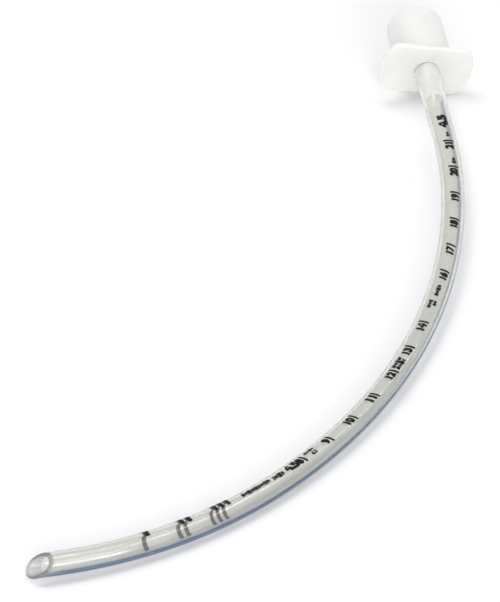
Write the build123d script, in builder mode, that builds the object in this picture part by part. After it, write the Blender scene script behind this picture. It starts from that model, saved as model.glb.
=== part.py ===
"""Uncuffed, curved, clear endotracheal tube with its push-in connector, lying as it comes to rest."""
import math
import os

from build123d import *

# Tube wall. Lengths everywhere are in millimetres and angles in degrees.
TUBE_BORE = 4.5
TUBE_OUTSIDE = 6.2

# Centreline from the patient end: a straight tip, two tangent bends, then a straight stretch
TIP_STRAIGHT_LENGTH = 8.0
PATIENT_BEND_RADIUS = 120.0
PATIENT_BEND_LENGTH = 62.0
BODY_BEND_RADIUS = 148.0
BODY_BEND_LENGTH = 146.5
PLAIN_STRAIGHT_LENGTH = 9.3

# Bevelled patient end: the cut's angle to the tube, and the way that it faces round the tube
BEVEL_ANGLE = 43.5
BEVEL_TURN = 15.0
BEVEL_EDGE_BREAK = 0.2

# Radiopaque line, set flush in the outside of the wall
STRIPE_WIDTH = 1.7
STRIPE_DEPTH = 0.5
STRIPE_TURN = 112.0

# Nozzle of the connector, and the end of the tube that is stretched over it
NOZZLE_LENGTH = 12.0
NOZZLE_OUTSIDE = 5.4
NOZZLE_TAPER = 0.2
NOZZLE_BORE = 3.9
NOZZLE_CHAMFER = 0.35
FLARE_LENGTH = 3.2
SEAT_CLEARANCE = 0.02
TUBE_END_GAP = 0.3

# Winged flange: a disc with two flats, rolled round the tube from the plane of the bends
FLANGE_LENGTH = 26.0
FLANGE_LEDGE = 0.2
FLANGE_THICKNESS = 1.6
FLANGE_CORNER_RADIUS = 2.6
FLANGE_EDGE_CHAMFER = 0.4
FLANGE_ROLL = -13.0

# Male cone of 15 mm nominal size, with its gauge diameter at the gauge depth from the rim
CONE_LENGTH = 16.2
CONE_GAUGE_DIAMETER = 15.47
CONE_GAUGE_DEPTH = 10.0
CONE_TAPER = 1 / 40
CONE_RIM_CHAMFER = 0.35
CONE_WALL = 1.35
CONE_BORE_DEPTH = 13.0
CONE_BORE_DRAFT = 0.3
FUNNEL_LENGTH = 4.4

# Rest: the bend touches the table at one station, where it runs level, and from there
# the plane of the bends tilts up until a corner of the flange carries the connector
REST_STATION = 59.0
REST_TILT = 4.01
REST_HEADING = 37.2
REST_POINT = (-4.92, -78.64)

# How far a cutting shape runs past what it cuts
CUT_MARGIN = 1.0

tube_radius = TUBE_OUTSIDE / 2
bore_radius = TUBE_BORE / 2
straight_length = PLAIN_STRAIGHT_LENGTH + FLARE_LENGTH + NOZZLE_LENGTH
nozzle_root_radius = NOZZLE_OUTSIDE / 2
nozzle_tip_radius = (NOZZLE_OUTSIDE - NOZZLE_TAPER) / 2
stripe_angle = math.degrees(STRIPE_WIDTH / tube_radius)


def stretched_radius(inside_radius):
    """Outer radius of the wall where its bore is stretched, with the section's area kept."""
    return math.sqrt(inside_radius**2 + tube_radius**2 - bore_radius**2)


def direction_round(plane, turn):
    """Direction across a plane's normal, turned from its Y towards its X."""
    angle = math.radians(turn)
    return plane.y_dir * math.cos(angle) + plane.x_dir * math.sin(angle)


# Plane of the bends: X runs along the tube where it touches the table, Y to the inside of the bend
heading = math.radians(REST_HEADING)
tilt = math.radians(REST_TILT)
forward = Vector(math.cos(heading), math.sin(heading), 0)
inward = Vector(-math.sin(heading), math.cos(heading), 0)
bend_plane = Plane(
    origin=(*REST_POINT, tube_radius),
    x_dir=forward,
    z_dir=Vector(0, 0, math.cos(tilt)) - inward * math.sin(tilt),
)

# Centreline, which passes through that plane's origin at the rest station
rest_angle = (REST_STATION - TIP_STRAIGHT_LENGTH) / PATIENT_BEND_RADIUS
with BuildLine(bend_plane) as centreline:
    patient_bend = JernArc(
        start=(
            -PATIENT_BEND_RADIUS * math.sin(rest_angle),
            PATIENT_BEND_RADIUS * (1 - math.cos(rest_angle)),
        ),
        tangent=(math.cos(rest_angle), -math.sin(rest_angle)),
        radius=PATIENT_BEND_RADIUS,
        arc_size=math.degrees(PATIENT_BEND_LENGTH / PATIENT_BEND_RADIUS),
    )
    tip_straight = Line(
        patient_bend @ 0 - (patient_bend % 0) * TIP_STRAIGHT_LENGTH, patient_bend @ 0
    )
    body_bend = JernArc(
        start=patient_bend @ 1,
        tangent=patient_bend % 1,
        radius=BODY_BEND_RADIUS,
        arc_size=math.degrees(BODY_BEND_LENGTH / BODY_BEND_RADIUS),
    )
    plain_straight = Line(body_bend @ 1, body_bend @ 1 + (body_bend % 1) * PLAIN_STRAIGHT_LENGTH)

tube_path = centreline.wires()[0]
tip = tube_path @ 0
tip_direction = tube_path % 0
axis_direction = tube_path % 1
flange_seat = body_bend @ 1 + axis_direction * straight_length
outward_at_tip = tip_direction.cross(bend_plane.z_dir)
outward_at_end = axis_direction.cross(bend_plane.z_dir)

# Section planes: Y is up, square to the bends, and X points to the outside of the bend
tip_section = Plane(origin=tip, x_dir=outward_at_tip, z_dir=-tip_direction)
seat_section = Plane(origin=flange_seat, x_dir=outward_at_end, z_dir=-axis_direction)
connector_axis = Axis(flange_seat, axis_direction)


def section_through_axis(turn):
    """Plane holding the connector's axis: X runs along it, Y out from it at a turn round the tube."""
    out = direction_round(seat_section, turn)
    return Plane(origin=flange_seat, x_dir=axis_direction, z_dir=axis_direction.cross(out))


# Stations along the connector's axis, from the flange's near face
flare_start = -NOZZLE_LENGTH - FLARE_LENGTH
flare_end = -NOZZLE_LENGTH + NOZZLE_CHAMFER
tube_end = -TUBE_END_GAP
taper_slope = (nozzle_root_radius - nozzle_tip_radius) / NOZZLE_LENGTH


def nozzle_radius(station):
    """Outside radius of the nozzle at a station along the connector's axis."""
    return nozzle_root_radius + taper_slope * station


def add_flare_line(start_radius, seated_radius):
    """Line of one face of the stretched wall, from the plain tube to the tube's end."""
    swell = Spline(
        (flare_start, start_radius),
        (flare_end, seated_radius(flare_end)),
        tangents=((1, 0), (1, taper_slope)),
    )
    Line(swell @ 1, (tube_end, seated_radius(tube_end)))


def seated_bore(station):
    """Radius of the stretched bore at a station on the nozzle."""
    return nozzle_radius(station) + SEAT_CLEARANCE


def seated_outside(station):
    """Radius of the stretched wall's outside at a station on the nozzle."""
    return stretched_radius(seated_bore(station))


def stripe_floor(station):
    """Radius of the radiopaque line's inner face at a station on the nozzle."""
    return seated_outside(station) - STRIPE_DEPTH


# Whole wall of the tube: swept along the bends, then flared over the nozzle
with BuildPart() as wall:
    with BuildSketch(tip_section):
        Circle(tube_radius)
        Circle(bore_radius, mode=Mode.SUBTRACT)
    sweep(path=tube_path)
    with BuildSketch(section_through_axis(0)):
        with BuildLine():
            add_flare_line(bore_radius, seated_bore)
            add_flare_line(tube_radius, seated_outside)
            Line((flare_start, bore_radius), (flare_start, tube_radius))
            Line((tube_end, seated_bore(tube_end)), (tube_end, seated_outside(tube_end)))
        make_face()
    revolve(axis=connector_axis)

    # The bevel's plane crosses the centreline where its far edge meets the tube's tip
    bevel = math.radians(BEVEL_ANGLE)
    bevel_station = tube_radius / math.tan(bevel)
    bevel_facing = direction_round(tip_section, BEVEL_TURN)
    bevel_plane = Plane(
        origin=tip + tip_direction * bevel_station,
        z_dir=bevel_facing * math.cos(bevel) - tip_direction * math.sin(bevel),
    )
    split(bisect_by=bevel_plane, keep=Keep.BOTTOM)
    bevel_face = wall.faces().filter_by(bevel_plane).sort_by(Axis(tip, bevel_plane.z_dir))[-1]
    chamfer(bevel_face.outer_wire().edges(), BEVEL_EDGE_BREAK)

# Ground that the radiopaque line takes up: a band of the wall's outside, open outwards
with BuildPart() as stripe_band:
    with BuildSketch(tip_section):
        Circle(tube_radius + CUT_MARGIN)
        Circle(tube_radius - STRIPE_DEPTH, mode=Mode.SUBTRACT)
        with BuildLine():
            side = PolarLine(
                (0, 0), 2 * (tube_radius + CUT_MARGIN), 90 - STRIPE_TURN - stripe_angle / 2
            )
            other_side = PolarLine(
                (0, 0), 2 * (tube_radius + CUT_MARGIN), 90 - STRIPE_TURN + stripe_angle / 2
            )
            Line(side @ 1, other_side @ 1)
        make_face(mode=Mode.INTERSECT)
    sweep(path=tube_path)
    with BuildSketch(section_through_axis(STRIPE_TURN - stripe_angle / 2)):
        with BuildLine():
            add_flare_line(tube_radius - STRIPE_DEPTH, stripe_floor)
            Polyline(
                (flare_start, tube_radius - STRIPE_DEPTH),
                (flare_start, tube_radius + CUT_MARGIN),
                (tube_end, tube_radius + CUT_MARGIN),
                (tube_end, stripe_floor(tube_end)),
            )
        make_face()
    revolve(axis=connector_axis, revolution_arc=stripe_angle)

with BuildPart() as radiopaque_stripe:
    add(stripe_band.part)
    add(wall.part, mode=Mode.INTERSECT)

with BuildPart() as tube:
    add(wall.part)
    add(stripe_band.part, mode=Mode.SUBTRACT)

# Connector: the winged plate, the nozzle and cone turned about the axis, then the gas way
rim = FLANGE_THICKNESS + CONE_LENGTH
plate_middle = FLANGE_THICKNESS / 2


def cone_radius(station):
    """Outside radius of the cone at a station along the connector's axis."""
    return (CONE_GAUGE_DIAMETER + (rim - CONE_GAUGE_DEPTH - station) * CONE_TAPER) / 2


wing_direction = direction_round(seat_section, 90 - FLANGE_ROLL)
flange_plane = Plane(origin=flange_seat, x_dir=wing_direction, z_dir=axis_direction)
flange_width = 2 * (cone_radius(0) + FLANGE_LEDGE)
mouth_radius = cone_radius(rim) - CONE_WALL
bore_floor = rim - CONE_BORE_DEPTH

with BuildPart() as connector:
    with BuildSketch(flange_plane) as flange_outline:
        Circle(FLANGE_LENGTH / 2)
        Rectangle(FLANGE_LENGTH, flange_width, mode=Mode.INTERSECT)
        fillet(flange_outline.vertices(), FLANGE_CORNER_RADIUS)
    extrude(amount=FLANGE_THICKNESS)
    plate_faces = connector.faces().filter_by(flange_plane)
    chamfer(plate_faces.edges(), FLANGE_EDGE_CHAMFER)

    with BuildSketch(section_through_axis(0)):
        with BuildLine():
            Polyline(
                (-NOZZLE_LENGTH, 0),
                (-NOZZLE_LENGTH, nozzle_tip_radius - NOZZLE_CHAMFER),
                (flare_end, nozzle_radius(flare_end)),
                (0, nozzle_root_radius),
                (plate_middle, nozzle_root_radius),
                (plate_middle, cone_radius(plate_middle)),
                (rim, cone_radius(rim)),
                (rim, 0),
                close=True,
            )
        make_face()
    revolve(axis=connector_axis)

    with BuildSketch(section_through_axis(0)):
        with BuildLine():
            Polyline(
                (-NOZZLE_LENGTH - CUT_MARGIN, 0),
                (-NOZZLE_LENGTH - CUT_MARGIN, NOZZLE_BORE / 2),
                (bore_floor - FUNNEL_LENGTH, NOZZLE_BORE / 2),
                (bore_floor, mouth_radius - CONE_BORE_DRAFT),
                (rim, mouth_radius),
                (rim + CUT_MARGIN, mouth_radius),
                (rim + CUT_MARGIN, 0),
                close=True,
            )
        make_face()
    revolve(axis=connector_axis, mode=Mode.SUBTRACT)
    rim_face = connector.faces().sort_by(connector_axis)[-1]
    chamfer(rim_face.edges(), CONE_RIM_CHAMFER)

tube.part.label = "tube"
radiopaque_stripe.part.label = "radiopaque_stripe"
connector.part.label = "connector"

os.makedirs("parts", exist_ok=True)
export_step(tube.part, "parts/tube.step")
export_step(radiopaque_stripe.part, "parts/radiopaque_stripe.step")
export_step(connector.part, "parts/connector.step")
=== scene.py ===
"""Looks of a clear endotracheal tube: its wall, blue line, printed marks and white connector.

Lengths on the part are in millimetres, and become metres where a mesh is made.
Lengths of the table, lamps and camera, and depths in materials, are in metres.
Angles are in degrees.
"""

import math

import bmesh
import bpy
import numpy as np
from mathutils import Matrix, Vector


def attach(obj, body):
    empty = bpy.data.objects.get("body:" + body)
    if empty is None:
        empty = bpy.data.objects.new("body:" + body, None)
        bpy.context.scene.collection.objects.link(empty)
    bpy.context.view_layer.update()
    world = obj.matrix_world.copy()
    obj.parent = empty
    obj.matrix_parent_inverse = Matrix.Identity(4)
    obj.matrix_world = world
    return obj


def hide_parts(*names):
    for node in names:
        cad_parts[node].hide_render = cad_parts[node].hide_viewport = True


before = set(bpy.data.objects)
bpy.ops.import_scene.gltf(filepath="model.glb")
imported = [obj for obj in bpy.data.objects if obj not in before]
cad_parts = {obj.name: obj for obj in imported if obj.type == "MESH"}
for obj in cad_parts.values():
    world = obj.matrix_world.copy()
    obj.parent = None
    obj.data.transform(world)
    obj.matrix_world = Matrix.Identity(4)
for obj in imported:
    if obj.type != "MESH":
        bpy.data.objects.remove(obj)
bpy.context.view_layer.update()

MM = 0.001
BODY = "root"

# Tube and centreline, from the tip
TUBE_BORE = 4.5
TUBE_OUTSIDE = 6.2
TIP_STRAIGHT_LENGTH = 8.0
PATIENT_BEND_RADIUS = 120.0
PATIENT_BEND_LENGTH = 62.0
BODY_BEND_RADIUS = 148.0
BODY_BEND_LENGTH = 146.5
PLAIN_STRAIGHT_LENGTH = 9.3

# Bevelled tip
BEVEL_ANGLE = 43.5
BEVEL_TURN = 15.0
BEVEL_EDGE_ROUND = 0.24
BORE_EDGE_STEP = 0.03

# Blue line
STRIPE_WIDTH = 1.7
STRIPE_DEPTH = 0.5
STRIPE_TURN = 112.0
STRIPE_COVER = 0.05
STRIPE_COLUMNS = 15
STRIPE_TIP_ROWS = 8

# How far the line's painted blue shine shows in the wall round about, and where along the tube it
# goes pale
BLUE_CORE = 1.1
BLUE_REACH = 1.8
PALER_FROM = 110.0
PALER_TO = 215.0

# Connector's nozzle, and the tube's end stretched over it
NOZZLE_LENGTH = 12.0
NOZZLE_OUTSIDE = 5.4
NOZZLE_TAPER = 0.2
NOZZLE_BORE = 3.9
NOZZLE_CHAMFER = 0.35
NOZZLE_TIP_ROUND = 0.3
NOZZLE_MOUTH_ROUND = 0.1
NOZZLE_ROOT_FILLET = 0.25
FLARE_LENGTH = 3.2
SEAT_CLEARANCE = 0.02
TUBE_END_GAP = 0.3
TUBE_END_ROUND = 0.12

# Connector's flange and cone
FLANGE_LENGTH = 26.0
FLANGE_LEDGE = 0.2
FLANGE_THICKNESS = 1.6
FLANGE_CORNER_RADIUS = 2.6
FLANGE_EDGE_ROUND = 0.5
FLANGE_ROLL = -13.0
CONE_LENGTH = 16.2
CONE_GAUGE_DIAMETER = 15.47
CONE_GAUGE_DEPTH = 10.0
CONE_TAPER = 1 / 40
CONE_RIM_ROUND = 0.45
CONE_WALL = 1.35
CONE_BORE_DEPTH = 13.0
CONE_BORE_DRAFT = 0.3
FUNNEL_LENGTH = 4.4
CONE_FOOT_FILLET = 0.35

# Rest on the table
REST_STATION = 59.0
REST_TILT = 4.01
REST_HEADING = 37.2
REST_POINT = (-4.92, -78.64)

# Print: the ink, and how the line of print wanders and leans along the tube
INK_THICKNESS = 0.03
BAND_STEP_TURN = 4
TURN_STATIONS = (62.0, 76.0, 90.0, 120.0, 140.0, 165.0, 200.0, 218.0)
PRINT_TURNS = (-7.0, -4.0, 1.0, 4.0, 3.0, 9.0, 7.0, -2.0)
LEAN_STATIONS = (70.0, 100.0, 145.0, 160.0, 200.0)
LEANS = (0.35, 0.33, 0.1, -0.2, -0.08)

# Depth figures in centimetres, each ending a little before its mark
DEPTH_FIGURES = (8, 9, 10, 11, 12, 13, 14, 16, 17, 18, 19, 20, 21)
DEPTH_FIGURE_HEIGHT = 2.4
DEPTH_FIGURE_GAP = 0.6
MARK_WIDTH = 0.62
MARK_HALF_TURN = 25
FIGURE_BOLDNESS = 0.03
FIGURE_SPREAD = 0.058
LONGEST_FIGURE_EDGE = 0.45

# Size figures: text, end, height, station that sets turn and lean, turn aside, stretch, and
# how much of the lean they take
SIZE_FIGURES = (
    ("4.5", 77.9, 2.5, 77.0, 0.0, 1.1, 1.0),
    ("6.2", 84.6, 1.2, 84.0, 8.0, 1.0, 0.0),
    ("4.5", 220.2, 2.6, 218.0, 0.0, 1.3, 1.0),
)

# Blocks in place of small wording: start, widths, height, turn aside
WORDING = (
    (59.2, (0.9, 0.7, 1.1, 0.8, 1.2, 0.7, 1.0, 0.8, 0.9), 1.25, 0),
    (69.3, (0.45, 1.0, 1.1, 0.7), 1.4, 4),
    (81.2, (0.8, 0.7, 0.9, 0.5), 0.85, -16),
    (120.9, (0.9, 1.1, 0.8, 1.2), 1.0, -12),
    (121.1, (1.0, 0.8, 1.2, 0.7), 1.0, 10),
    (145.4, (0.9, 1.1, 0.8), 1.0, -12),
    (146.6, (0.8, 0.9), 0.95, 10),
    (150.3, (1.0, 0.8, 1.1, 0.8), 1.05, 0),
    (201.2, (0.9, 1.1), 1.1, 6),
    (211.6, (0.7, 0.9), 0.9, 4),
)
BLOCK_GAP = 0.12
BLOCK_HEIGHTS = (1.0, 0.72, 1.18, 0.85, 1.05)

# Rings near the tip: station and width
RINGS = ((31.6, 1.25), (41.4, 1.15), (43.5, 1.15), (51.2, 1.0), (53.1, 1.0), (55.0, 1.0))
RING_TURN_FROM = -182.0
RING_TURN_TO = 5.0

tube_radius = TUBE_OUTSIDE / 2
bore_radius = TUBE_BORE / 2
flare_start = TIP_STRAIGHT_LENGTH + PATIENT_BEND_LENGTH + BODY_BEND_LENGTH + PLAIN_STRAIGHT_LENGTH
seat_station = flare_start + FLARE_LENGTH + NOZZLE_LENGTH
tube_end = seat_station - TUBE_END_GAP
flare_end = seat_station - NOZZLE_LENGTH + NOZZLE_CHAMFER
rim = FLANGE_THICKNESS + CONE_LENGTH

# Axes of the plane of the bends
heading = math.radians(REST_HEADING)
tilt = math.radians(REST_TILT)
forward = np.array([math.cos(heading), math.sin(heading), 0.0])
inward_level = np.array([-math.sin(heading), math.cos(heading), 0.0])
up = np.array([0.0, 0.0, math.cos(tilt)]) - inward_level * math.sin(tilt)
inward = np.cross(up, forward)


def flat_course(station):
    """Place and heading of the centreline within the plane of the bends."""
    station = np.asarray(station, float)
    angle = -(REST_STATION - TIP_STRAIGHT_LENGTH) / PATIENT_BEND_RADIUS
    x = np.zeros_like(station)
    y = np.zeros_like(station)
    course = np.full_like(station, angle)
    start = 0.0
    for length, radius in (
        (TIP_STRAIGHT_LENGTH, None),
        (PATIENT_BEND_LENGTH, PATIENT_BEND_RADIUS),
        (BODY_BEND_LENGTH, BODY_BEND_RADIUS),
        (math.inf, None),
    ):
        run = np.clip(station - start, 0.0, length)
        if radius is None:
            x = x + run * math.cos(angle)
            y = y + run * math.sin(angle)
        else:
            x = x + radius * (np.sin(angle + run / radius) - math.sin(angle))
            y = y - radius * (np.cos(angle + run / radius) - math.cos(angle))
            course = course + run / radius
            angle += length / radius
        start += length
    return x, y, course


rest_x, rest_y, _ = flat_course(REST_STATION)


def surface(station, turn, radius):
    """Points at a station along the tube, a turn from its top outwards, and a radius."""
    station, turn, radius = np.broadcast_arrays(
        np.asarray(station, float), np.asarray(turn, float), np.asarray(radius, float)
    )
    x, y, course = flat_course(station)
    origin = np.array([*REST_POINT, tube_radius])
    centre = origin + (x - rest_x)[..., None] * forward + (y - rest_y)[..., None] * inward
    along = np.cos(course)[..., None] * forward + np.sin(course)[..., None] * inward
    outward = np.cross(along, up)
    angle = np.radians(turn)
    way = np.cos(angle)[..., None] * up + np.sin(angle)[..., None] * outward
    return centre + way * radius[..., None]


def nozzle_radius(station):
    """Outside radius of the nozzle at a station along the tube."""
    return (NOZZLE_OUTSIDE + NOZZLE_TAPER * (station - seat_station) / NOZZLE_LENGTH) / 2


def stretched(inside):
    """Outer radius of the wall over a stretched bore, with the section's area kept."""
    return np.sqrt(inside**2 + tube_radius**2 - bore_radius**2)


def flared(station, plain, seated):
    """Radius of one face of the wall: plain, then swelling to its seated radius on the nozzle."""
    share = np.clip((station - flare_start) / (flare_end - flare_start), 0.0, 1.0)
    ease = share * share * (3 - 2 * share)
    return plain + (seated(np.maximum(station, flare_end)) - plain) * ease


def bore_at(station):
    """Radius of the tube's bore at a station."""
    return flared(station, bore_radius, lambda s: nozzle_radius(s) + SEAT_CLEARANCE)


def outside_at(station):
    """Radius of the tube's outside at a station."""
    return flared(station, tube_radius, lambda s: stretched(nozzle_radius(s) + SEAT_CLEARANCE))


def bevel_station(turn, radius):
    """Station where the bevel cuts a line along the wall at a turn and a radius."""
    slope = 1 / math.tan(math.radians(BEVEL_ANGLE))
    return (tube_radius + radius * np.cos(np.radians(turn - BEVEL_TURN))) * slope


def new_piece(name, points, faces, slot=None, smooth=True):
    """Mesh object from points in millimetres, riding on the part's one body."""
    mesh = bpy.data.meshes.new(name)
    mesh.from_pydata((np.asarray(points) * MM).tolist(), [], faces)
    shape = bmesh.new()
    shape.from_mesh(mesh)
    bmesh.ops.recalc_face_normals(shape, faces=shape.faces)
    shape.to_mesh(mesh)
    shape.free()
    mesh.polygons.foreach_set("use_smooth", [smooth] * len(mesh.polygons))
    piece = bpy.data.objects.new(name, mesh)
    bpy.context.scene.collection.objects.link(piece)
    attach(piece, BODY)
    return piece


def grid_faces(rows, columns, loop_rows, loop_columns):
    """Quads over a grid of points, closed round either way where asked."""
    faces = []
    for row in range(rows if loop_rows else rows - 1):
        below = ((row + 1) % rows) * columns
        for column in range(columns if loop_columns else columns - 1):
            beside = (column + 1) % columns
            faces.append(
                (row * columns + column, row * columns + beside, below + beside, below + column)
            )
    return faces


def lay_flat_map(piece, along, around):
    """UV map that holds the station along the tube and the way round it, in millimetres."""
    layer = piece.data.uv_layers.new(name="unrolled")
    corner = np.zeros(len(piece.data.loops), np.int32)
    piece.data.loops.foreach_get("vertex_index", corner)
    flat = np.stack([along[corner], around[corner]], axis=-1)
    layer.data.foreach_set("uv", flat.astype(np.float32).ravel())


# Tube wall: how finely it is divided

RING_POINTS = 112
TIP_ZONE = 9.0
TIP_ROWS = 14
SHADED_BORE_ROWS = 5
BODY_ROW_PITCH = 1.25
FLARE_ROWS = 10
SEATED_ROWS = 8


def wall_rows():
    """Stations of the wall's rings behind the tip zone: plain, swelling, and on the nozzle."""
    plain = np.arange(TIP_ZONE, flare_start, BODY_ROW_PITCH)
    swelling = np.linspace(flare_start, flare_end, FLARE_ROWS)
    seated = np.linspace(flare_end, tube_end, SEATED_ROWS)[1:]
    return np.concatenate([plain, swelling, seated])


def make_tube():
    """Closed wall of the tube: outside, rounded bevel, bore and the end on the nozzle."""
    turn = np.linspace(0.0, 360.0, RING_POINTS, endpoint=False)
    stations = wall_rows()
    rows = []

    def add(station, radius):
        station, radius = np.broadcast_arrays(station, radius, turn)[:2]
        rows.append((station.copy(), radius.copy()))

    # Outside, from the end on the nozzle back to the tip zone
    for back, down in ((0.0, 1.0), (0.3, 0.3), (1.0, 0.0)):
        station = tube_end - TUBE_END_ROUND * back
        add(np.full_like(turn, station), outside_at(tube_end) - TUBE_END_ROUND * down)
    for station in stations[::-1][1:]:
        add(np.full_like(turn, station), outside_at(station))

    # Bevel, with its outer edge rounded between the outside and the cut face
    outer_cut = bevel_station(turn, tube_radius)
    inner_cut = bevel_station(turn, bore_radius)
    before_round = outer_cut + BEVEL_EDGE_ROUND
    for share in np.linspace(0.0, 1.0, TIP_ROWS)[1:]:
        add(TIP_ZONE + (before_round - TIP_ZONE) * share, tube_radius)
    wall = tube_radius - bore_radius
    face_share = BEVEL_EDGE_ROUND / wall
    face_station = outer_cut + (inner_cut - outer_cut) * face_share
    cut_start = len(rows) - 1
    for share in (0.2, 0.4, 0.6, 0.8, 1.0):
        start, corner, end = (1 - share) ** 2, 2 * share * (1 - share), share**2
        add(
            before_round * start + outer_cut * corner + face_station * end,
            tube_radius * (start + corner) + (tube_radius - BEVEL_EDGE_ROUND) * end,
        )
    for share in (0.35, 0.65, 0.9):
        across = face_share + (1 - face_share) * share
        add(outer_cut + (inner_cut - outer_cut) * across, tube_radius - wall * across)
    bore_start = inner_cut + BORE_EDGE_STEP
    add(bore_start, bore_radius)

    # Bore, from the bevel to the end on the nozzle, its first rows given the cut face's rougher,
    # darker vinyl as painted shade inside the opening
    shaded_cut_end = len(rows) - 1 + SHADED_BORE_ROWS
    for share in np.linspace(0.0, 1.0, TIP_ROWS)[1:-1]:
        add(bore_start + (TIP_ZONE - bore_start) * share, bore_radius)
    for station in stations:
        add(np.full_like(turn, station), bore_at(station))

    station = np.array([row[0] for row in rows])
    radius = np.array([row[1] for row in rows])
    points = surface(station, turn[None, :], radius).reshape(-1, 3)
    faces = grid_faces(len(rows), RING_POINTS, True, True)
    piece = new_piece("clear_tube_wall", points, faces, "clear_tube")
    around = np.broadcast_to(np.radians(turn) * tube_radius, station.shape)
    lay_flat_map(piece, station.ravel(), around.ravel())
    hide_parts("tube")
    return piece, range(cut_start * RING_POINTS, shaded_cut_end * RING_POINTS)


def make_stripe():
    """Blue line: a closed band just under the wall's outside, from the bevel to the tube's end."""
    half = math.degrees(STRIPE_WIDTH / tube_radius) / 2
    across = np.linspace(-half, half, STRIPE_COLUMNS)
    section_turn = STRIPE_TURN + np.concatenate([across, across[::-1]])
    depth = np.repeat([STRIPE_COVER, STRIPE_DEPTH], STRIPE_COLUMNS)
    stations = wall_rows()
    rows = []
    start = bevel_station(section_turn, tube_radius - depth) + TUBE_END_ROUND
    for share in np.linspace(0.0, 1.0, STRIPE_TIP_ROWS)[:-1]:
        rows.append(start + (TIP_ZONE - start) * share)
    for station in stations[:-1]:
        rows.append(np.full_like(section_turn, station))
    rows.append(np.full_like(section_turn, tube_end - TUBE_END_ROUND))
    station = np.array(rows)
    points = surface(station, section_turn[None, :], outside_at(station) - depth[None, :])
    columns = len(section_turn)
    faces = grid_faces(len(rows), columns, False, True)
    last = (len(rows) - 1) * columns
    for column in range(STRIPE_COLUMNS - 1):
        far = columns - 1 - column
        faces.append((column + 1, column, far, far - 1))
        faces.append((last + column, last + column + 1, last + far - 1, last + far))
    piece = new_piece("blue_line", points.reshape(-1, 3), faces, "blue_line")
    lay_flat_map(
        piece,
        station.ravel(),
        np.broadcast_to(np.radians(section_turn) * tube_radius, station.shape).ravel(),
    )
    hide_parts("radiopaque_stripe")
    return piece


# Connector

CONNECTOR_RING = 192


def cone_radius(station):
    """Outside radius of the cone at a station from the flange's near face."""
    return (CONE_GAUGE_DIAMETER + (rim - CONE_GAUGE_DEPTH - station) * CONE_TAPER) / 2


def wing_outline(angle, inset):
    """Radius of the flange's outline at angles from its wings, with the edge drawn in."""
    half_width = cone_radius(0.0) + FLANGE_LEDGE
    reach = FLANGE_LENGTH / 2
    corner_y = half_width - FLANGE_CORNER_RADIUS
    corner_x = math.sqrt((reach - FLANGE_CORNER_RADIUS) ** 2 - corner_y**2)
    folded = np.abs(np.mod(angle + 90.0, 180.0) - 90.0)
    radians = np.radians(folded)
    first = math.degrees(math.atan2(corner_y, corner_x))
    second = math.degrees(math.atan2(half_width - inset, corner_x))
    toward = corner_x * np.cos(radians) + corner_y * np.sin(radians)
    aside = corner_x**2 + corner_y**2 - (FLANGE_CORNER_RADIUS - inset) ** 2
    corner = toward + np.sqrt(np.maximum(toward**2 - aside, 0.0))
    flat = (half_width - inset) / np.maximum(np.sin(radians), 1e-6)
    return np.where(folded < first, reach - inset, np.where(folded < second, corner, flat))


def arc_steps(count):
    """Sine and one less cosine of a quarter turn, in equal steps."""
    return [
        (math.sin(math.pi / 2 * i / count), 1 - math.cos(math.pi / 2 * i / count))
        for i in range(count + 1)
    ]


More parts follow.
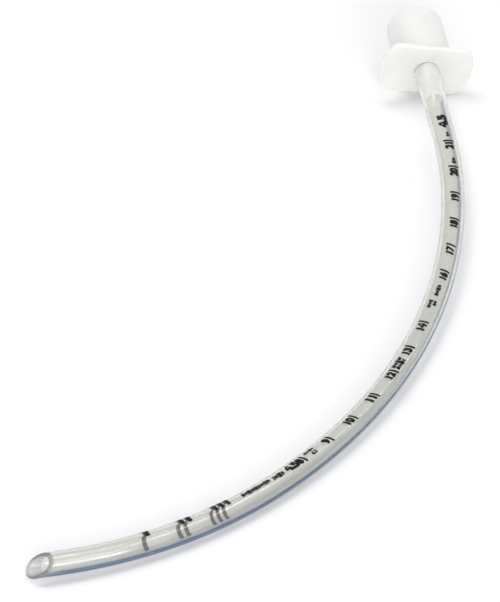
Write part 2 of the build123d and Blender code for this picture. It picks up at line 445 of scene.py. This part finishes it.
def make_connector():
    """One closed mesh: nozzle, winged flange, cone, and the gas way through them."""
    angle = np.linspace(0.0, 360.0, CONNECTOR_RING, endpoint=False)
    circle = np.ones_like(angle)
    rows = []

    def add(station, radius):
        rows.append((station, radius * circle))

    # Nozzle, from its mouth to the fillet at its root
    tip_round = NOZZLE_TIP_ROUND
    nozzle_tip = (NOZZLE_OUTSIDE - NOZZLE_TAPER) / 2
    add(-NOZZLE_LENGTH, NOZZLE_BORE / 2 + NOZZLE_MOUTH_ROUND)
    for across, back in arc_steps(4):
        add(-NOZZLE_LENGTH + back * tip_round, nozzle_tip - tip_round * (1 - across))
    fillet = NOZZLE_ROOT_FILLET
    for station in np.linspace(-NOZZLE_LENGTH + 2 * tip_round, -fillet, 8):
        add(station, nozzle_radius(station + seat_station))
    root = NOZZLE_OUTSIDE / 2
    for across, back in arc_steps(3)[1:]:
        add(-fillet + fillet * across, root + fillet * back)

    # Near face of the flange, its rounded edge, and its far face
    inner_ring = wing_outline(angle, FLANGE_EDGE_ROUND)
    for share in (0.2, 0.45, 0.7, 0.88):
        add(0.0, root + fillet + (inner_ring - root - fillet) * share)
    for across, back in arc_steps(5):
        add(back * FLANGE_EDGE_ROUND, wing_outline(angle, FLANGE_EDGE_ROUND * (1 - across)))
    for across, back in arc_steps(5)[::-1]:
        add(
            FLANGE_THICKNESS - back * FLANGE_EDGE_ROUND,
            wing_outline(angle, FLANGE_EDGE_ROUND * (1 - across)),
        )
    # Where the cone stands on the ledge, a small fillet keeps inside the flange's flats
    foot = CONE_FOOT_FILLET
    cone_foot = cone_radius(FLANGE_THICKNESS)
    inner_ring = np.maximum(inner_ring, cone_foot + 0.02)
    foot_out = np.minimum(foot, (inner_ring - cone_foot) * 0.6)
    for share in (0.15, 0.4, 0.7):
        add(FLANGE_THICKNESS, inner_ring + (cone_foot + foot_out - inner_ring) * share)
    for across, back in arc_steps(4):
        add(FLANGE_THICKNESS + foot * back, cone_foot + foot_out * (1 - across))

    # Cone, its rounded rim, and the way in to the nozzle's bore
    for station in np.linspace(FLANGE_THICKNESS + 0.8, rim - CONE_RIM_ROUND, 14):
        add(station, cone_radius(station))
    for across, back in arc_steps(5)[1:]:
        add(
            rim - CONE_RIM_ROUND * (1 - across),
            cone_radius(rim) - CONE_RIM_ROUND * back,
        )
    mouth = cone_radius(rim) - CONE_WALL
    for across, back in arc_steps(5):
        add(rim - CONE_RIM_ROUND * back, mouth + CONE_RIM_ROUND * (1 - across))
    bore_floor = rim - CONE_BORE_DEPTH
    for station in np.linspace(rim - 1.0, bore_floor, 12):
        share = (rim - station) / CONE_BORE_DEPTH
        add(station, mouth - CONE_BORE_DRAFT * share)
    for share in np.linspace(0.0, 1.0, 7)[1:]:
        add(
            bore_floor - FUNNEL_LENGTH * share,
            (mouth - CONE_BORE_DRAFT) * (1 - share) + NOZZLE_BORE / 2 * share,
        )
    below_funnel = bore_floor - FUNNEL_LENGTH - 0.8
    for station in np.linspace(below_funnel, -NOZZLE_LENGTH + NOZZLE_MOUTH_ROUND, 10):
        add(station, NOZZLE_BORE / 2)

    station = np.array([np.full_like(angle, row[0]) for row in rows]) + seat_station
    radius = np.array([row[1] for row in rows])
    turn = 90 - FLANGE_ROLL + angle[None, :]
    points = surface(station, turn, radius).reshape(-1, 3)
    faces = grid_faces(len(rows), CONNECTOR_RING, True, True)
    piece = new_piece("white_connector", points, faces, "white_connector")
    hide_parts("connector")
    nozzle_faces = []
    for index in range(len(rows)):
        if max(rows[index][0], rows[(index + 1) % len(rows)][0]) < 0:
            nozzle_faces += range(index * CONNECTOR_RING, (index + 1) * CONNECTOR_RING)
    return piece, nozzle_faces


# Print


def lean_at(station):
    """How far the print leans at a station: along the tube, for each millimetre across."""
    return float(np.interp(station, LEAN_STATIONS, LEANS))


def turn_at(station):
    """Turn that the print is centred on at a station, as it wanders round the tube."""
    return float(np.interp(station, TURN_STATIONS, PRINT_TURNS))


def ink_band(station, width, turn_from, turn_to, lean=0.0):
    """Printed band round part of the tube: a thin closed slab on the wall."""
    steps = max(4, int(abs(turn_to - turn_from) / BAND_STEP_TURN))
    turn = np.linspace(turn_from, turn_to, steps + 1)
    corner_station = station + width * np.array([-0.5, -0.5, 0.5, 0.5])
    lift = np.array([0.0, INK_THICKNESS, INK_THICKNESS, 0.0])
    across = np.radians(turn - (turn_from + turn_to) / 2) * tube_radius
    stations = corner_station[None, :] + lean * across[:, None]
    radius = outside_at(stations) + lift[None, :]
    points = surface(stations, turn[:, None], radius).reshape(-1, 3)
    faces = grid_faces(len(turn), 4, False, True)
    last = 4 * (len(turn) - 1)
    faces += [(0, 3, 2, 1), (last, last + 1, last + 2, last + 3)]
    return points, faces


def join_shapes(shapes):
    """Points and faces of several shapes as one set."""
    points = []
    faces = []
    for more_points, more_faces in shapes:
        shift = sum(len(p) for p in points)
        points.append(np.asarray(more_points))
        faces += [tuple(index + shift for index in face) for face in more_faces]
    return np.concatenate(points), faces


def figure_shape(text, end_station, height, turn, stretch, lean):
    """Figures wrapped on the wall, ending at a station, their tops to the inside of the bend."""
    curve = bpy.data.curves.new("figures", "FONT")
    curve.body = text
    curve.size = 1.0
    curve.offset = FIGURE_BOLDNESS
    curve.extrude = 0.5
    curve.resolution_u = 5
    holder = bpy.data.objects.new("figures", curve)
    bpy.context.scene.collection.objects.link(holder)
    graph = bpy.context.evaluated_depsgraph_get()
    mesh = bpy.data.meshes.new_from_object(holder.evaluated_get(graph))
    bpy.data.objects.remove(holder)
    bpy.data.curves.remove(curve)
    shape = bmesh.new()
    shape.from_mesh(mesh)
    bmesh.ops.remove_doubles(shape, verts=shape.verts, dist=1e-5)
    shape.normal_update()
    for vertex in shape.verts:
        sideways = Vector((0.0, 0.0, 0.0))
        for face in vertex.link_faces:
            if abs(face.normal.z) < 0.5:
                sideways += face.normal * face.calc_area()
        if sideways.length > 0:
            vertex.co += sideways.normalized() * FIGURE_SPREAD
    bmesh.ops.triangulate(shape, faces=shape.faces)
    tall = max(v.co.y for v in shape.verts) - min(v.co.y for v in shape.verts)
    low = min(v.co.y for v in shape.verts)
    right = max(v.co.x for v in shape.verts)
    scale = height / tall
    for _ in range(3):
        long_edges = [
            edge for edge in shape.edges if edge.calc_length() * scale > LONGEST_FIGURE_EDGE
        ]
        if not long_edges:
            break
        bmesh.ops.subdivide_edges(shape, edges=long_edges, cuts=1, use_grid_fill=False)
        bmesh.ops.triangulate(shape, faces=shape.faces)
    co = np.array([v.co[:] for v in shape.verts])
    faces = [tuple(v.index for v in f.verts) for f in shape.faces]
    shape.free()
    bpy.data.meshes.remove(mesh)
    across = (co[:, 1] - low) * scale - height / 2
    station = end_station + (co[:, 0] - right) * scale * stretch - lean * across
    lift = (co[:, 2] + 0.5) * INK_THICKNESS
    radius = outside_at(station) + lift
    return surface(station, turn - np.degrees(across / tube_radius), radius), faces


def ink_blocks(start, widths, height, turn):
    """Row of plain blocks that stands where the tube carries small wording."""
    half = math.degrees(height / tube_radius) / 2
    shapes = []
    station = start
    for index, width in enumerate(widths):
        tall = half * BLOCK_HEIGHTS[index % len(BLOCK_HEIGHTS)]
        shapes.append(ink_band(station + width / 2, width, turn - tall, turn + tall))
        station += width + BLOCK_GAP
    return shapes


def make_print():
    """Depth figures and marks, size figures, rings near the tip, and blocks for the wording."""
    figures = []
    for centimetres in DEPTH_FIGURES:
        station = 10.0 * centimetres
        end = station - DEPTH_FIGURE_GAP
        turn = turn_at(station)
        half = MARK_HALF_TURN
        lean = lean_at(station)
        figures.append(figure_shape(str(centimetres), end, DEPTH_FIGURE_HEIGHT, turn, 1.0, lean))
        figures.append(ink_band(station, MARK_WIDTH, turn - half, turn + half, lean))
    for text, end, height, place, aside, stretch, share in SIZE_FIGURES:
        turn = turn_at(place) + aside
        figures.append(figure_shape(text, end, height, turn, stretch, share * lean_at(place)))
    blocks = []
    for start, widths, height, aside in WORDING:
        blocks += ink_blocks(start, widths, height, turn_at(start) + aside)
    rings = [ink_band(station, width, RING_TURN_FROM, RING_TURN_TO) for station, width in RINGS]
    return (
        new_piece("depth_print", *join_shapes(figures), smooth=False),
        new_piece("wording_blocks", *join_shapes(blocks), smooth=False),
        new_piece("tip_rings", *join_shapes(rings), smooth=False),
    )


# Materials: colours in linear light

VINYL_DARK = (0.86, 0.86, 0.82)
VINYL_LIGHT = (0.93, 0.93, 0.895)
# Painted shade where the wall is seen edge on
VINYL_EDGE_SHADE = (0.66, 0.66, 0.64)
# Painted light where the wall lies on the nozzle, for the white nozzle seen through it
VINYL_LIT_OVER_NOZZLE = (0.95, 0.95, 0.93)
VINYL_IOR = 1.53
EDGE_FACING = (0.15, 0.85)
NOZZLE_SHOWS_FROM = flare_start - 3.0
SHADOW_AT_TIP = (0.80, 0.80, 0.815)
SHADOW_ON_NOZZLE = (0.96, 0.96, 0.95)

# Painted blue shine of the line in the clear wall beside it, standing in for its refraction, and
# the line's own colour
PAINTED_BLUE_SHINE = (0.36, 0.53, 0.68)
PAINTED_BLUE_SHINE_STARTS = (5.0, 9.0)
PAINTED_BLUE_SHINE_LEFT = 0.35
BLUE_DARK = (0.17, 0.245, 0.335)
BLUE_LIGHT = (0.23, 0.315, 0.415)
BLUE_PALE = (0.62, 0.67, 0.70)
PALE_SHARE = 0.7

MILKY_DARK = (0.835, 0.845, 0.81)
MILKY_LIGHT = (0.88, 0.887, 0.855)
MILKY_IOR = 1.49
SOAK_WEIGHT = 0.8
SOAK_RADIUS = (1.0, 1.0, 0.85)
SOAK_SCALE = 0.002
WALL_LETS_THROUGH = 0.08
NOZZLE_LETS_THROUGH = 0.8

INK_SHINE = 0.15
BUMP_DEPTH = 0.00004


def new_material(name):
    """Empty node material with its output node."""
    material = bpy.data.materials.new(name)
    material.use_nodes = True
    nodes = material.node_tree.nodes
    nodes.clear()
    output = nodes.new("ShaderNodeOutputMaterial")
    return material, nodes, material.node_tree.links, output


def moulded_skin_group():
    """Faint unevenness of moulded and extruded plastic, along and across a map."""
    group = bpy.data.node_groups.new("plastic_skin", "ShaderNodeTree")
    interface = group.interface
    interface.new_socket("Place", in_out="INPUT", socket_type="NodeSocketVector")
    for name, value in (
        ("Roughness", 0.1),
        ("Roughness Spread", 0.05),
        ("Grain", 40.0),
        ("Bump", 0.1),
    ):
        socket = interface.new_socket(name, in_out="INPUT", socket_type="NodeSocketFloat")
        socket.default_value = value
    interface.new_socket("Roughness", in_out="OUTPUT", socket_type="NodeSocketFloat")
    interface.new_socket("Normal", in_out="OUTPUT", socket_type="NodeSocketVector")
    interface.new_socket("Mottle", in_out="OUTPUT", socket_type="NodeSocketFloat")
    nodes = group.nodes
    links = group.links
    given = nodes.new("NodeGroupInput")
    result = nodes.new("NodeGroupOutput")
    noise = nodes.new("ShaderNodeTexNoise")
    noise.inputs["Detail"].default_value = 4.0
    links.new(given.outputs["Place"], noise.inputs["Vector"])
    links.new(given.outputs["Grain"], noise.inputs["Scale"])
    spread = nodes.new("ShaderNodeMath")
    spread.operation = "MULTIPLY_ADD"
    links.new(noise.outputs["Fac"], spread.inputs[0])
    links.new(given.outputs["Roughness Spread"], spread.inputs[1])
    links.new(given.outputs["Roughness"], spread.inputs[2])
    links.new(spread.outputs[0], result.inputs["Roughness"])
    bump = nodes.new("ShaderNodeBump")
    bump.inputs["Distance"].default_value = BUMP_DEPTH
    links.new(given.outputs["Bump"], bump.inputs["Strength"])
    links.new(noise.outputs["Fac"], bump.inputs["Height"])
    links.new(bump.outputs["Normal"], result.inputs["Normal"])
    links.new(noise.outputs["Fac"], result.inputs["Mottle"])
    return group


plastic_skin = moulded_skin_group()


def place_skin(nodes, links, place, roughness, spread, grain, bump):
    """Skin group in a material, fed by a coordinate output."""
    skin = nodes.new("ShaderNodeGroup")
    skin.node_tree = plastic_skin
    skin.inputs["Roughness"].default_value = roughness
    skin.inputs["Roughness Spread"].default_value = spread
    skin.inputs["Grain"].default_value = grain
    skin.inputs["Bump"].default_value = bump
    links.new(place, skin.inputs["Place"])
    return skin


def unrolled_map(nodes):
    """Output of the map that holds the station along the tube and the way round it."""
    flat = nodes.new("ShaderNodeUVMap")
    flat.uv_map = "unrolled"
    return flat.outputs["UV"]


def drawn_out_place(nodes, links, stretch):
    """Unrolled map of the tube, drawn out along its length."""
    mapping = nodes.new("ShaderNodeMapping")
    mapping.inputs["Scale"].default_value = (1 / stretch, 1.0, 1.0)
    links.new(unrolled_map(nodes), mapping.inputs["Vector"])
    return mapping.outputs["Vector"]


def along_and_around(nodes, links):
    """Station along the tube, and the way round it, as two values."""
    parts = nodes.new("ShaderNodeSeparateXYZ")
    links.new(unrolled_map(nodes), parts.inputs["Vector"])
    return parts.outputs["X"], parts.outputs["Y"]


def worked_out(nodes, links, operation, *inputs):
    """One sum on values, each of them an output or a plain number."""
    sum_node = nodes.new("ShaderNodeMath")
    sum_node.operation = operation
    for index, value in enumerate(inputs):
        if isinstance(value, float):
            sum_node.inputs[index].default_value = value
        else:
            links.new(value, sum_node.inputs[index])
    return sum_node.outputs[0]


def share_between(nodes, links, measure, start, end, low=0.0, high=1.0, smooth=True):
    """Value that runs from low to high as a measure runs from start to end."""
    share = nodes.new("ShaderNodeMapRange")
    if smooth:
        share.interpolation_type = "SMOOTHSTEP"
    share.inputs["From Min"].default_value = start
    share.inputs["From Max"].default_value = end
    share.inputs["To Min"].default_value = low
    share.inputs["To Max"].default_value = high
    links.new(measure, share.inputs["Value"])
    return share.outputs["Result"]


def blended(nodes, links, factor, first, second, way="MIX"):
    """Colour that runs from the first to the second, each an output or a plain colour."""
    mix = nodes.new("ShaderNodeMix")
    mix.data_type = "RGBA"
    mix.blend_type = way
    links.new(factor, mix.inputs["Factor"])
    for side, colour in (("A", first), ("B", second)):
        if isinstance(colour, tuple):
            mix.inputs[side].default_value = (*colour, 1)
        else:
            links.new(colour, mix.inputs[side])
    return mix.outputs["Result"]


def mottled_colour(nodes, links, skin, *stops):
    """Colour that wanders with the skin's mottle between two stops, each a level and a shade."""
    colour = nodes.new("ShaderNodeValToRGB")
    for element, (level, shade) in zip(colour.color_ramp.elements, stops):
        element.position = level
        element.color = (*shade, 1)
    links.new(skin.outputs["Mottle"], colour.inputs["Fac"])
    return colour.outputs["Color"]


def plastic_shader(nodes, links, skin, colour):
    """Shader with a colour, and with the roughness and the normal of the skin."""
    shader = nodes.new("ShaderNodeBsdfPrincipled")
    links.new(colour, shader.inputs["Base Color"])
    links.new(skin.outputs["Roughness"], shader.inputs["Roughness"])
    links.new(skin.outputs["Normal"], shader.inputs["Normal"])
    return shader


def let_light_by(nodes, links, output, shader, share, passed):
    """Puts out a shader that gives way to a see-through one for a share of the rays."""
    mix = nodes.new("ShaderNodeMixShader")
    links.new(share, mix.inputs["Fac"])
    links.new(shader.outputs["BSDF"], mix.inputs[1])
    links.new(passed.outputs["BSDF"], mix.inputs[2])
    links.new(mix.outputs["Shader"], output.inputs["Surface"])


def clear_vinyl(name, roughness, clearness, tone):
    """Clear flexible vinyl: faint extrusion lines, a warm tint, and a soft pale shadow."""
    material, nodes, links, output = new_material(name)
    place = drawn_out_place(nodes, links, stretch=22.0)
    skin = place_skin(nodes, links, place, roughness, spread=0.05, grain=2.2, bump=0.35)
    dark = tuple(level * tone for level in VINYL_DARK)
    light = tuple(level * tone for level in VINYL_LIGHT)
    tint = mottled_colour(nodes, links, skin, (0.3, dark), (0.7, light))
    along, around = along_and_around(nodes, links)

    # Painted blue shine beside the line, standing in for its refraction, from just behind the
    # bevel, and weaker towards the connector
    line_place = math.radians(STRIPE_TURN) * tube_radius
    away = worked_out(nodes, links, "SUBTRACT", around, line_place)
    distance = worked_out(nodes, links, "ABSOLUTE", away)
    beside = share_between(nodes, links, distance, BLUE_REACH, BLUE_CORE)
    behind_tip = share_between(nodes, links, along, *PAINTED_BLUE_SHINE_STARTS)
    paler = share_between(nodes, links, along, PALER_FROM, PALER_TO, 1.0, PAINTED_BLUE_SHINE_LEFT, False)
    blue_shine_beside = worked_out(nodes, links, "MULTIPLY", beside, paler)
    blue_shine_share = worked_out(nodes, links, "MULTIPLY", blue_shine_beside, behind_tip)
    blue_shone = blended(nodes, links, blue_shine_share, tint, PAINTED_BLUE_SHINE)

    # Painted shade: grey where the wall is seen edge on; painted light: pale where it lies on the
    # nozzle
    facing = nodes.new("ShaderNodeLayerWeight")
    facing.inputs["Blend"].default_value = 0.5
    edge = share_between(nodes, links, facing.outputs["Facing"], *EDGE_FACING)
    edge_shaded = blended(nodes, links, edge, blue_shone, VINYL_EDGE_SHADE, "MULTIPLY")
    # Painted light over the nozzle, for the white nozzle seen through the wall
    nozzle_light_share = share_between(nodes, links, along, NOZZLE_SHOWS_FROM, flare_end)
    lit_over_nozzle = blended(nodes, links, nozzle_light_share, edge_shaded, VINYL_LIT_OVER_NOZZLE)
    shader = plastic_shader(nodes, links, skin, lit_over_nozzle)
    shader.inputs["IOR"].default_value = VINYL_IOR
    shader.inputs["Transmission Weight"].default_value = clearness

    # Shadows and soft light from other surfaces pass straight through
    toward_nozzle = share_between(nodes, links, along, PALER_FROM, flare_end, smooth=False)
    shadow = blended(nodes, links, toward_nozzle, SHADOW_AT_TIP, SHADOW_ON_NOZZLE)
    passed = nodes.new("ShaderNodeBsdfTransparent")
    links.new(shadow, passed.inputs["Color"])
    path = nodes.new("ShaderNodeLightPath")
    unseen = worked_out(
        nodes, links, "MAXIMUM", path.outputs["Is Shadow Ray"], path.outputs["Is Diffuse Ray"]
    )
    let_light_by(nodes, links, output, shader, unseen, passed)
    return material


def blue_compound():
    """Blue filled vinyl of the line, slightly uneven along its length."""
    material, nodes, links, output = new_material("blue_compound")
    place = drawn_out_place(nodes, links, stretch=14.0)
    skin = place_skin(nodes, links, place, roughness=0.4, spread=0.2, grain=1.6, bump=0.2)
    colour = mottled_colour(nodes, links, skin, (0.25, BLUE_DARK), (0.75, BLUE_LIGHT))
    along, _ = along_and_around(nodes, links)
    paler = share_between(nodes, links, along, PALER_FROM, PALER_TO, 0.0, PALE_SHARE, False)
    faded = blended(nodes, links, paler, colour, BLUE_PALE)
    shader = plastic_shader(nodes, links, skin, faded)
    links.new(shader.outputs["BSDF"], output.inputs["Surface"])
    return material


def milky_plastic(name, lets_through):
    """Translucent white moulded plastic of the connector, satin, with light soaking into it."""
    material, nodes, links, output = new_material(name)
    place = nodes.new("ShaderNodeTexCoord").outputs["Object"]
    skin = place_skin(nodes, links, place, roughness=0.24, spread=0.14, grain=260.0, bump=0.25)
    colour = mottled_colour(nodes, links, skin, (0.3, MILKY_DARK), (0.75, MILKY_LIGHT))
    shader = plastic_shader(nodes, links, skin, colour)
    shader.subsurface_method = "RANDOM_WALK"
    shader.inputs["Subsurface Weight"].default_value = SOAK_WEIGHT
    shader.inputs["Subsurface Radius"].default_value = SOAK_RADIUS
    shader.inputs["Subsurface Scale"].default_value = SOAK_SCALE
    shader.inputs["IOR"].default_value = MILKY_IOR
    passed = nodes.new("ShaderNodeBsdfTransparent")
    path = nodes.new("ShaderNodeLightPath")
    share = worked_out(nodes, links, "MULTIPLY", path.outputs["Is Shadow Ray"], lets_through)
    let_light_by(nodes, links, output, shader, share, passed)
    return material


def print_ink(name, dark, thin):
    """Printing ink, a little thinner in places."""
    material, nodes, links, output = new_material(name)
    place = nodes.new("ShaderNodeTexCoord").outputs["Object"]
    skin = place_skin(nodes, links, place, roughness=0.45, spread=0.25, grain=900.0, bump=0.3)
    colour = mottled_colour(nodes, links, skin, (0.35, dark), (0.75, thin))
    shader = plastic_shader(nodes, links, skin, colour)
    shader.inputs["Specular IOR Level"].default_value = INK_SHINE
    links.new(shader.outputs["BSDF"], output.inputs["Surface"])
    return material


def dress(piece, material):
    """Gives a piece one material."""
    piece.data.materials.clear()
    piece.data.materials.append(material)


def dress_faces(piece, material, faces):
    """Gives some faces of a piece a second material."""
    piece.data.materials.append(material)
    for face in faces:
        piece.data.polygons[face].material_index = 1


tube_wall, cut_and_shaded_faces = make_tube()
blue_line = make_stripe()
connector, nozzle_faces = make_connector()
depth_print, wording_blocks, tip_rings = make_print()

vinyl = clear_vinyl("clear_vinyl", roughness=0.02, clearness=0.95, tone=1.0)
# Rough like a cut face, which is real, and darker, which is painted shade inside the opening; it
# also covers the bore's first rows
cut_and_shaded_vinyl = clear_vinyl("cut_and_shaded_vinyl", roughness=0.26, clearness=0.72, tone=0.62)
blue = blue_compound()
milky = milky_plastic("milky_plastic", WALL_LETS_THROUGH)
thin_milky = milky_plastic("thin_milky_plastic", NOZZLE_LETS_THROUGH)
black_ink = print_ink("black_ink", (0.005, 0.005, 0.005), (0.018, 0.018, 0.016))
olive_ink = print_ink("olive_ink", (0.010, 0.009, 0.005), (0.03, 0.026, 0.016))
dress(tube_wall, vinyl)
dress_faces(tube_wall, cut_and_shaded_vinyl, cut_and_shaded_faces)
dress(blue_line, blue)
dress(connector, milky)
dress_faces(connector, thin_milky, nozzle_faces)
dress(depth_print, black_ink)
dress(wording_blocks, black_ink)
dress(tip_rings, olive_ink)
for node, material in (("tube", vinyl), ("radiopaque_stripe", blue), ("connector", milky)):
    dress(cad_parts[node], material)


# Table, light and camera

TABLE_REACH = 4.0
TABLE_DROP = 0.00002
TABLE_COLOUR = (0.868, 0.868, 0.876, 1)
TABLE_GLOW = 0.09

# Light from all round on surfaces, and what the camera and gloss see of walls and ceiling
ROOM_LIGHT = 0.48
WALL_LIGHT = 0.78
CEILING_LIGHT = 0.5
WALL_TOP = 0.25
CEILING_EDGE = 0.75

# Lamps, aimed at the part: name, place, width, height, watts
LAMPS = (
    ("overhead_light", (-0.22, 0.20, 1.05), 0.62, 0.62, 4.7),
    ("near_strip_light", (0.40, -0.02, 1.0), 0.62, 0.08, 0.8),
    ("far_strip_light", (0.73, 0.36, 1.0), 0.08, 0.8, 0.8),
    ("front_light", (0.25, -1.10, 0.55), 0.9, 0.5, 6.6),
)

# Camera at the photograph's angle, for a frame of 500 by 602
CAMERA_DISTANCE = 1.7
CAMERA_DOWN = 41.15
CAMERA_TURN = 0.48
CAMERA_AIM = (-0.00216, -0.00277, 0.005)
LONGER_SIDE = 602
FOCAL_PIXELS = 6549.0
SENSOR = 36.0


def background_share(nodes, links):
    """1 for rays from the camera or by way of gloss or clear plastic, and 0 for others."""
    path = nodes.new("ShaderNodeLightPath")
    seen = path.outputs["Is Camera Ray"]
    for kind in ("Is Glossy Ray", "Is Transmission Ray"):
        seen = worked_out(nodes, links, "MAXIMUM", seen, path.outputs[kind])
    return seen


def make_table():
    """Plain pale table that keeps the part's shadow."""
    material, nodes, links, output = new_material("pale_table")
    shader = nodes.new("ShaderNodeBsdfPrincipled")
    shader.inputs["Base Color"].default_value = TABLE_COLOUR
    shader.inputs["Roughness"].default_value = 0.9
    shader.inputs["Specular IOR Level"].default_value = 0.0
    glow = nodes.new("ShaderNodeEmission")
    lift = worked_out(nodes, links, "MULTIPLY", background_share(nodes, links), TABLE_GLOW)
    links.new(lift, glow.inputs["Strength"])
    both = nodes.new("ShaderNodeAddShader")
    links.new(shader.outputs["BSDF"], both.inputs[0])
    links.new(glow.outputs["Emission"], both.inputs[1])
    links.new(both.outputs["Shader"], output.inputs["Surface"])
    reach = TABLE_REACH
    mesh = bpy.data.meshes.new("table_top")
    corners = [(-reach, -reach), (reach, -reach), (reach, reach), (-reach, reach)]
    mesh.from_pydata([(x, y, -TABLE_DROP) for x, y in corners], [], [(0, 1, 2, 3)])
    table = bpy.data.objects.new("table_top", mesh)
    bpy.context.scene.collection.objects.link(table)
    table.data.materials.append(material)


def make_room():
    """Pale surroundings: white behind the part, and a low even light on it."""
    world = bpy.data.worlds.new("pale_room")
    world.use_nodes = True
    bpy.context.scene.world = world
    nodes = world.node_tree.nodes
    links = world.node_tree.links
    nodes.clear()
    output = nodes.new("ShaderNodeOutputWorld")
    background = nodes.new("ShaderNodeBackground")
    background.inputs["Color"].default_value = (1.0, 1.0, 1.0, 1)
    direction = nodes.new("ShaderNodeTexCoord")
    parts = nodes.new("ShaderNodeSeparateXYZ")
    links.new(direction.outputs["Generated"], parts.inputs["Vector"])
    height = parts.outputs["Z"]
    walls = share_between(
        nodes, links, height, WALL_TOP, CEILING_EDGE, WALL_LIGHT, CEILING_LIGHT
    )
    strength = nodes.new("ShaderNodeMix")
    strength.data_type = "FLOAT"
    links.new(background_share(nodes, links), strength.inputs["Factor"])
    strength.inputs["A"].default_value = ROOM_LIGHT
    links.new(walls, strength.inputs["B"])
    links.new(strength.outputs["Result"], background.inputs["Strength"])
    links.new(background.outputs["Background"], output.inputs["Surface"])


def add_lamp(name, place, width, height, power):
    """Soft rectangular lamp, aimed at the middle of the part."""
    lamp = bpy.data.lights.new(name, "AREA")
    lamp.shape = "RECTANGLE"
    lamp.size = width
    lamp.size_y = height
    lamp.energy = power
    holder = bpy.data.objects.new(name, lamp)
    bpy.context.scene.collection.objects.link(holder)
    holder.location = place
    direction = Vector((0.0, 0.0, 0.0)) - Vector(place)
    holder.rotation_mode = "QUATERNION"
    holder.rotation_quaternion = direction.to_track_quat("-Z", "Y")


def make_camera():
    """Long lens looking down on the part."""
    camera = bpy.data.cameras.new("camera")
    camera.sensor_width = SENSOR
    camera.lens = FOCAL_PIXELS * SENSOR / LONGER_SIDE
    camera.clip_start = 0.05
    camera.clip_end = 20.0
    holder = bpy.data.objects.new("camera", camera)
    bpy.context.scene.collection.objects.link(holder)
    down = math.radians(CAMERA_DOWN)
    turn = math.radians(CAMERA_TURN)
    look = Vector(
        (math.sin(turn) * math.cos(down), math.cos(turn) * math.cos(down), -math.sin(down))
    )
    holder.location = Vector(CAMERA_AIM) - look * CAMERA_DISTANCE
    holder.rotation_mode = "QUATERNION"
    holder.rotation_quaternion = look.to_track_quat("-Z", "Y")
    bpy.context.scene.camera = holder


make_table()
make_room()
for lamp in LAMPS:
    add_lamp(*lamp)
make_camera()
bpy.context.scene.view_settings.view_transform = "Standard"
